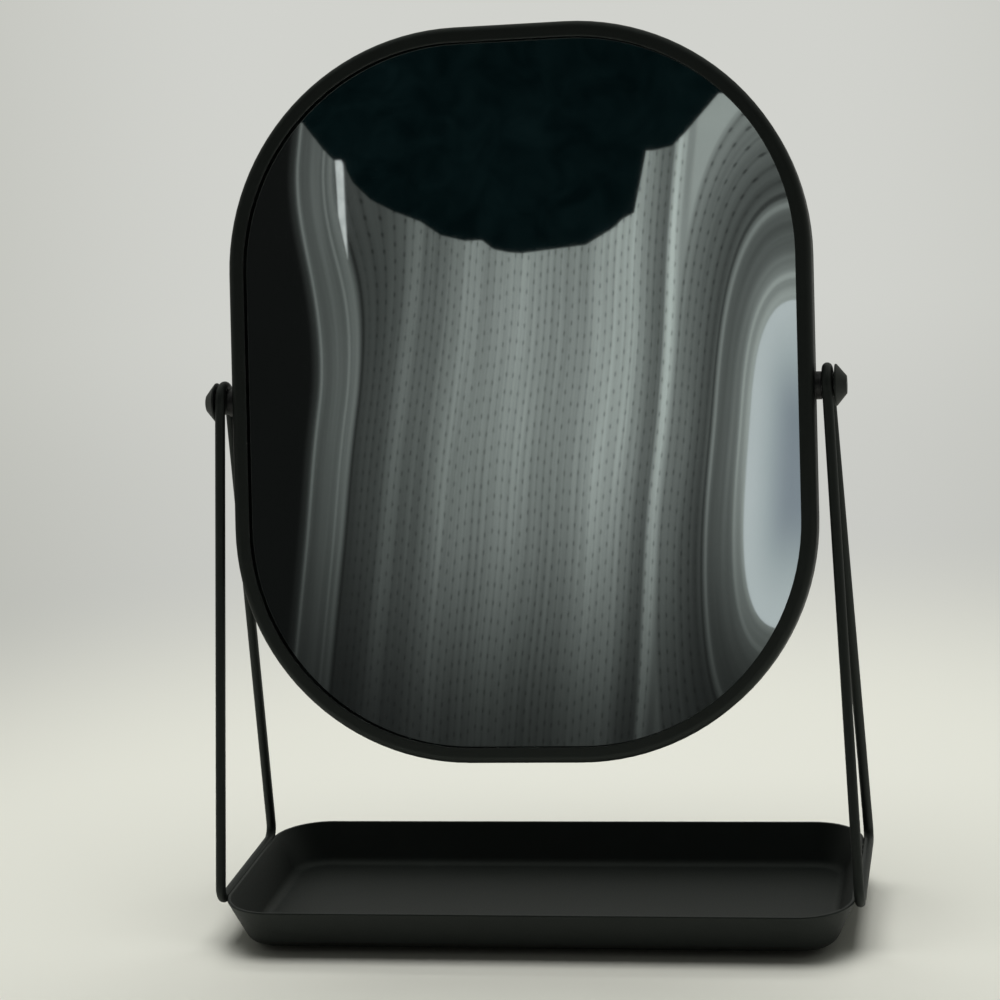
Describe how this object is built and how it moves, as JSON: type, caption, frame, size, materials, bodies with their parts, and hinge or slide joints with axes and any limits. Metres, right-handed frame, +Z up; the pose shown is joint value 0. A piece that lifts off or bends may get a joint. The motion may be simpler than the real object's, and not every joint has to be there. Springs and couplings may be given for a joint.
{
  "type": "vanity mirror",
  "caption": "Tabletop mirror with a rounded, slim-framed head that tilts between wire side loops standing on a shallow open tray.",
  "frame": {"origin": "on the table, at the middle of the tray, level with the underside of the rubber feet", "axes": "+Z up, -Y towards the person using the mirror, +X to their right as they look at it"},
  "size_m": [0.2248, 0.095, 0.3098],
  "materials": {
    "black_powder_coat": "satin black powder coat, very fine texture",
    "silvered_glass": "polished glass silvered at the back",
    "foot_rubber": "matte moulded rubber pad",
    "black_nylon": "turned nylon washer",
    "black_zinc": "black zinc plating",
    "zinc_steel": "bright zinc plating",
    "hardboard": "pressed brown hardboard",
    "foam": "closed-cell grey foam"
  },
  "bodies": {
    "stand": {"tray": "black_powder_coat", "rubber_feet": "foot_rubber", "left_wire_loop": "black_powder_coat", "right_wire_loop": "black_powder_coat", "left_loop_welds": "black_powder_coat", "right_loop_welds": "black_powder_coat", "left_pivot_bush": "black_powder_coat", "right_pivot_bush": "black_powder_coat"},
    "head": {"mirror_frame": "black_powder_coat", "mirror_glass": "silvered_glass", "backing_board": "hardboard", "foam_pads": "foam", "cover_lugs": "black_powder_coat", "back_cover": "black_powder_coat", "back_cover_screws": "black_zinc", "left_weld_nut": "zinc_steel", "right_weld_nut": "zinc_steel", "left_stud": "zinc_steel", "right_stud": "zinc_steel", "left_inner_washer": "black_nylon", "right_inner_washer": "black_nylon"},
    "left_clamp": {"left_outer_washer": "black_zinc"},
    "left_hand_knob": {"left_knob": "black_powder_coat"},
    "right_clamp": {"right_outer_washer": "black_zinc"},
    "right_hand_knob": {"right_knob": "black_powder_coat"}
  },
  "joints": [
    {"name": "head_tilt", "type": "hinge", "parent": "stand", "child": "head", "pos_m": [0, 0, 0.1867], "axis": [1, 0, 0], "continuous": true},
    {"name": "left_clamp_slide", "type": "slide", "parent": "head", "child": "left_clamp", "axis": [-1, 0, 0], "range_m": [0, 0.00105]},
    {"name": "left_knob_turn", "type": "hinge", "parent": "left_clamp", "child": "left_hand_knob", "pos_m": [-0.108, 0, 0.1867], "axis": [-1, 0, 0], "range_deg": [0, 540.5]},
    {"name": "right_clamp_slide", "type": "slide", "parent": "head", "child": "right_clamp", "axis": [1, 0, 0], "range_m": [0, 0.00105]},
    {"name": "right_knob_turn", "type": "hinge", "parent": "right_clamp", "child": "right_hand_knob", "pos_m": [0.108, 0, 0.1867], "axis": [1, 0, 0], "range_deg": [0, 540.5]}
  ],
  "couplings": [
    {"joint": "left_knob_turn", "follows": "left_clamp_slide", "rad_per_m": 8976},
    {"joint": "right_knob_turn", "follows": "right_clamp_slide", "rad_per_m": 8976}
  ]
}
